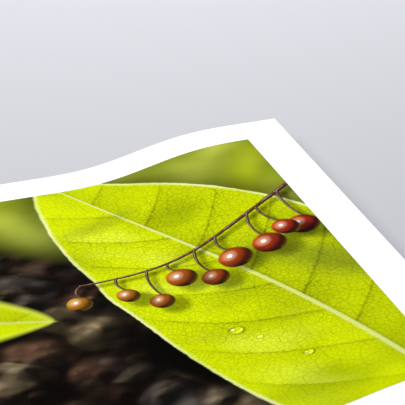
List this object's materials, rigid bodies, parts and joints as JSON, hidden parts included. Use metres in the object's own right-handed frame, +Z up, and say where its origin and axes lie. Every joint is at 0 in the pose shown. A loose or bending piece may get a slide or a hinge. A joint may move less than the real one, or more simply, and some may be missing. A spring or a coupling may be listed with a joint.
{
  "type": "photographic print",
  "caption": "Photographic print on heavy white paper, with an even white border round its picture, lying flat with one end raised in a soft wave.",
  "frame": {"origin": "middle of the sheet's outline, at the level of the surface that it lies on", "axes": "+X along the long side towards the raised end, +Y up the picture, +Z up, away from the surface"},
  "size_m": [0.2962, 0.21, 0.0086],
  "materials": {
    "photo_paper": "bright white resin-coated photo paper with a fine pearl texture and a satin gloss",
    "printed_picture": "full-colour printed picture of leaves with the paper's pearl texture and a slightly higher gloss"
  },
  "bodies": {
    "root": {"paper_sheet": "photo_paper", "picture_layer": "printed_picture"}
  },
  "joints": []
}
